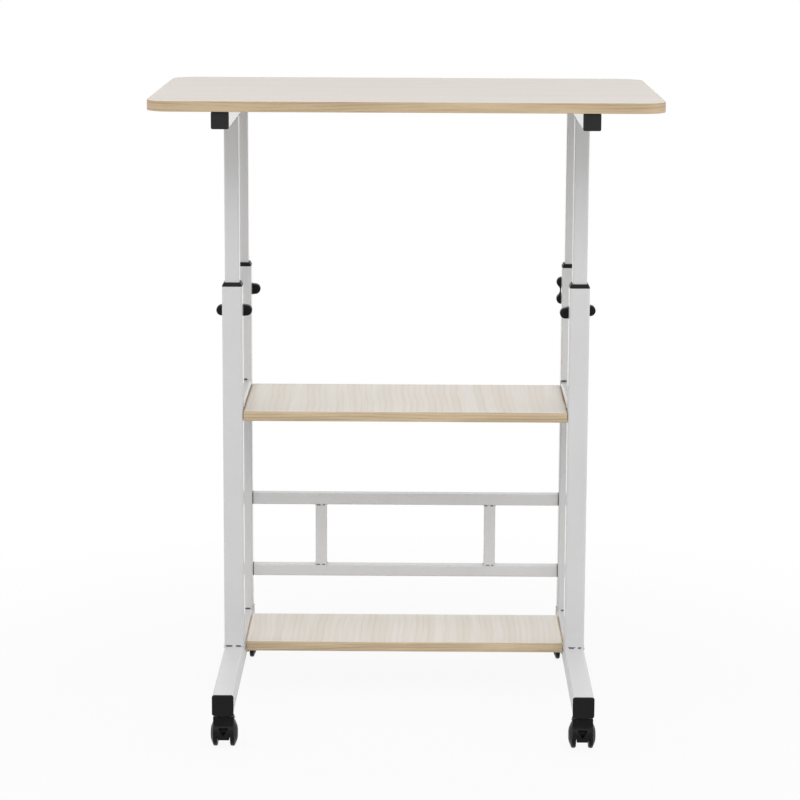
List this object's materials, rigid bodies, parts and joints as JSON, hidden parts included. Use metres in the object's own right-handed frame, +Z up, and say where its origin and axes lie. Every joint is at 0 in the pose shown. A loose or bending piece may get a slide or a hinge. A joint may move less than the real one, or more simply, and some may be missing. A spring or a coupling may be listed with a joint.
{
  "type": "height-adjustable writing desk",
  "caption": "Writing desk with a board top on telescoping square legs, clamp knobs, open shelves, a rear ladder and castors.",
  "frame": {"origin": "on the floor, under the middle of the desk's box", "axes": "+X along the tabletop to the user's right, -Y towards the user, +Z up"},
  "size_m": [0.6, 0.446, 0.77],
  "materials": {
    "white_steel": "white powder coat",
    "laminate": "pale maple laminate",
    "edge_band": "tan wood-grain band",
    "black_plastic": "moulded black",
    "castor_plastic": "moulded nylon",
    "zinc_steel": "zinc plated"
  },
  "bodies": {
    "base": {"left_foot_tube": "white_steel", "left_side_rail": "white_steel", "right_foot_tube": "white_steel", "right_side_rail": "white_steel", "left_front_leg": "white_steel", "left_rear_leg": "white_steel", "right_front_leg": "white_steel", "right_rear_leg": "white_steel", "foot_end_caps": "black_plastic", "leg_collars": "black_plastic", "stretcher_upper_rail": "white_steel", "stretcher_lower_rail": "white_steel", "stretcher_end_plugs": "black_plastic", "stretcher_bolts": "zinc_steel", "stretcher_posts": "white_steel", "middle_shelf_board": "laminate", "middle_shelf_edge_band": "edge_band", "lower_shelf_board": "laminate", "lower_shelf_edge_band": "edge_band", "shelf_tabs": "white_steel", "shelf_screws": "zinc_steel", "clamp_nuts": "zinc_steel", "castor_stems": "zinc_steel", "castor_nuts": "zinc_steel"},
    "table": {"tabletop_board": "laminate", "tabletop_edge_band": "edge_band", "left_top_bar": "white_steel", "right_top_bar": "white_steel", "top_bar_caps": "black_plastic", "tabletop_screws": "zinc_steel", "inner_tube_guides": "black_plastic", "left_front_inner_tube": "white_steel", "left_rear_inner_tube": "white_steel", "right_front_inner_tube": "white_steel", "right_rear_inner_tube": "white_steel"},
    "left_front_clamp_screw": {"left_front_clamp_stud": "zinc_steel"},
    "left_front_clamp_handle": {"left_front_clamp_grip": "black_plastic"},
    "left_rear_clamp_screw": {"left_rear_clamp_stud": "zinc_steel"},
    "left_rear_clamp_handle": {"left_rear_clamp_grip": "black_plastic"},
    "right_front_clamp_screw": {"right_front_clamp_stud": "zinc_steel"},
    "right_front_clamp_handle": {"right_front_clamp_grip": "black_plastic"},
    "right_rear_clamp_screw": {"right_rear_clamp_stud": "zinc_steel"},
    "right_rear_clamp_handle": {"right_rear_clamp_grip": "black_plastic"},
    "left_front_castor": {"left_front_castor_hood": "castor_plastic", "left_front_castor_axle": "zinc_steel"},
    "left_front_castor_left_roller": {"left_front_castor_left_wheel": "castor_plastic"},
    "left_front_castor_right_roller": {"left_front_castor_right_wheel": "castor_plastic"},
    "left_rear_castor": {"left_rear_castor_hood": "castor_plastic", "left_rear_castor_axle": "zinc_steel"},
    "left_rear_castor_left_roller": {"left_rear_castor_left_wheel": "castor_plastic"},
    "left_rear_castor_right_roller": {"left_rear_castor_right_wheel": "castor_plastic"},
    "right_front_castor": {"right_front_castor_hood": "castor_plastic", "right_front_castor_axle": "zinc_steel"},
    "right_front_castor_left_roller": {"right_front_castor_left_wheel": "castor_plastic"},
    "right_front_castor_right_roller": {"right_front_castor_right_wheel": "castor_plastic"},
    "right_rear_castor": {"right_rear_castor_hood": "castor_plastic", "right_rear_castor_axle": "zinc_steel"},
    "right_rear_castor_left_roller": {"right_rear_castor_left_wheel": "castor_plastic"},
    "right_rear_castor_right_roller": {"right_rear_castor_right_wheel": "castor_plastic"}
  },
  "joints": [
    {"name": "table_height", "type": "slide", "parent": "base", "child": "table", "axis": [0, 0, 1], "range_m": [-0.17, 0.05]},
    {"name": "left_front_clamp_travel", "type": "slide", "parent": "base", "child": "left_front_clamp_screw", "axis": [0, 1, 0], "range_m": [0, 0.0025]},
    {"name": "left_front_clamp_turn", "type": "hinge", "parent": "left_front_clamp_screw", "child": "left_front_clamp_handle", "pos_m": [-0.214, 0.0025, 0.4925], "axis": [0, 1, 0], "range_deg": [0, 720]},
    {"name": "left_rear_clamp_travel", "type": "slide", "parent": "base", "child": "left_rear_clamp_screw", "axis": [0, 1, 0], "range_m": [0, 0.0025]},
    {"name": "left_rear_clamp_turn", "type": "hinge", "parent": "left_rear_clamp_screw", "child": "left_rear_clamp_handle", "pos_m": [-0.214, 0.1855, 0.4925], "axis": [0, 1, 0], "range_deg": [0, 720]},
    {"name": "right_front_clamp_travel", "type": "slide", "parent": "base", "child": "right_front_clamp_screw", "axis": [0, 1, 0], "range_m": [0, 0.0025]},
    {"name": "right_front_clamp_turn", "type": "hinge", "parent": "right_front_clamp_screw", "child": "right_front_clamp_handle", "pos_m": [0.214, 0.0025, 0.4925], "axis": [0, 1, 0], "range_deg": [0, 720]},
    {"name": "right_rear_clamp_travel", "type": "slide", "parent": "base", "child": "right_rear_clamp_screw", "axis": [0, 1, 0], "range_m": [0, 0.0025]},
    {"name": "right_rear_clamp_turn", "type": "hinge", "parent": "right_rear_clamp_screw", "child": "right_rear_clamp_handle", "pos_m": [0.214, 0.1855, 0.4925], "axis": [0, 1, 0], "range_deg": [0, 720]},
    {"name": "left_front_castor_swivel", "type": "hinge", "parent": "base", "child": "left_front_castor", "pos_m": [-0.214, -0.2045, 0.0445], "axis": [0, 0, 1], "continuous": true},
    {"name": "left_front_castor_left_wheel_spin", "type": "hinge", "parent": "left_front_castor", "child": "left_front_castor_left_roller", "pos_m": [-0.214, -0.1965, 0.016], "axis": [1, 0, 0], "continuous": true},
    {"name": "left_front_castor_right_wheel_spin", "type": "hinge", "parent": "left_front_castor", "child": "left_front_castor_right_roller", "pos_m": [-0.214, -0.1965, 0.016], "axis": [1, 0, 0], "continuous": true},
    {"name": "left_rear_castor_swivel", "type": "hinge", "parent": "base", "child": "left_rear_castor", "pos_m": [-0.214, 0.182, 0.0445], "axis": [0, 0, 1], "continuous": true},
    {"name": "left_rear_castor_left_wheel_spin", "type": "hinge", "parent": "left_rear_castor", "child": "left_rear_castor_left_roller", "pos_m": [-0.214, 0.19, 0.016], "axis": [1, 0, 0], "continuous": true},
    {"name": "left_rear_castor_right_wheel_spin", "type": "hinge", "parent": "left_rear_castor", "child": "left_rear_castor_right_roller", "pos_m": [-0.214, 0.19, 0.016], "axis": [1, 0, 0], "continuous": true},
    {"name": "right_front_castor_swivel", "type": "hinge", "parent": "base", "child": "right_front_castor", "pos_m": [0.214, -0.2045, 0.0445], "axis": [0, 0, 1], "continuous": true},
    {"name": "right_front_castor_left_wheel_spin", "type": "hinge", "parent": "right_front_castor", "child": "right_front_castor_left_roller", "pos_m": [0.214, -0.1965, 0.016], "axis": [1, 0, 0], "continuous": true},
    {"name": "right_front_castor_right_wheel_spin", "type": "hinge", "parent": "right_front_castor", "child": "right_front_castor_right_roller", "pos_m": [0.214, -0.1965, 0.016], "axis": [1, 0, 0], "continuous": true},
    {"name": "right_rear_castor_swivel", "type": "hinge", "parent": "base", "child": "right_rear_castor", "pos_m": [0.214, 0.182, 0.0445], "axis": [0, 0, 1], "continuous": true},
    {"name": "right_rear_castor_left_wheel_spin", "type": "hinge", "parent": "right_rear_castor", "child": "right_rear_castor_left_roller", "pos_m": [0.214, 0.19, 0.016], "axis": [1, 0, 0], "continuous": true},
    {"name": "right_rear_castor_right_wheel_spin", "type": "hinge", "parent": "right_rear_castor", "child": "right_rear_castor_right_roller", "pos_m": [0.214, 0.19, 0.016], "axis": [1, 0, 0], "continuous": true}
  ],
  "couplings": [
    {"joint": "left_front_clamp_travel", "follows": "left_front_clamp_turn", "m_per_rad": 0.00019894},
    {"joint": "left_rear_clamp_travel", "follows": "left_rear_clamp_turn", "m_per_rad": 0.00019894},
    {"joint": "right_front_clamp_travel", "follows": "right_front_clamp_turn", "m_per_rad": 0.00019894},
    {"joint": "right_rear_clamp_travel", "follows": "right_rear_clamp_turn", "m_per_rad": 0.00019894}
  ]
}
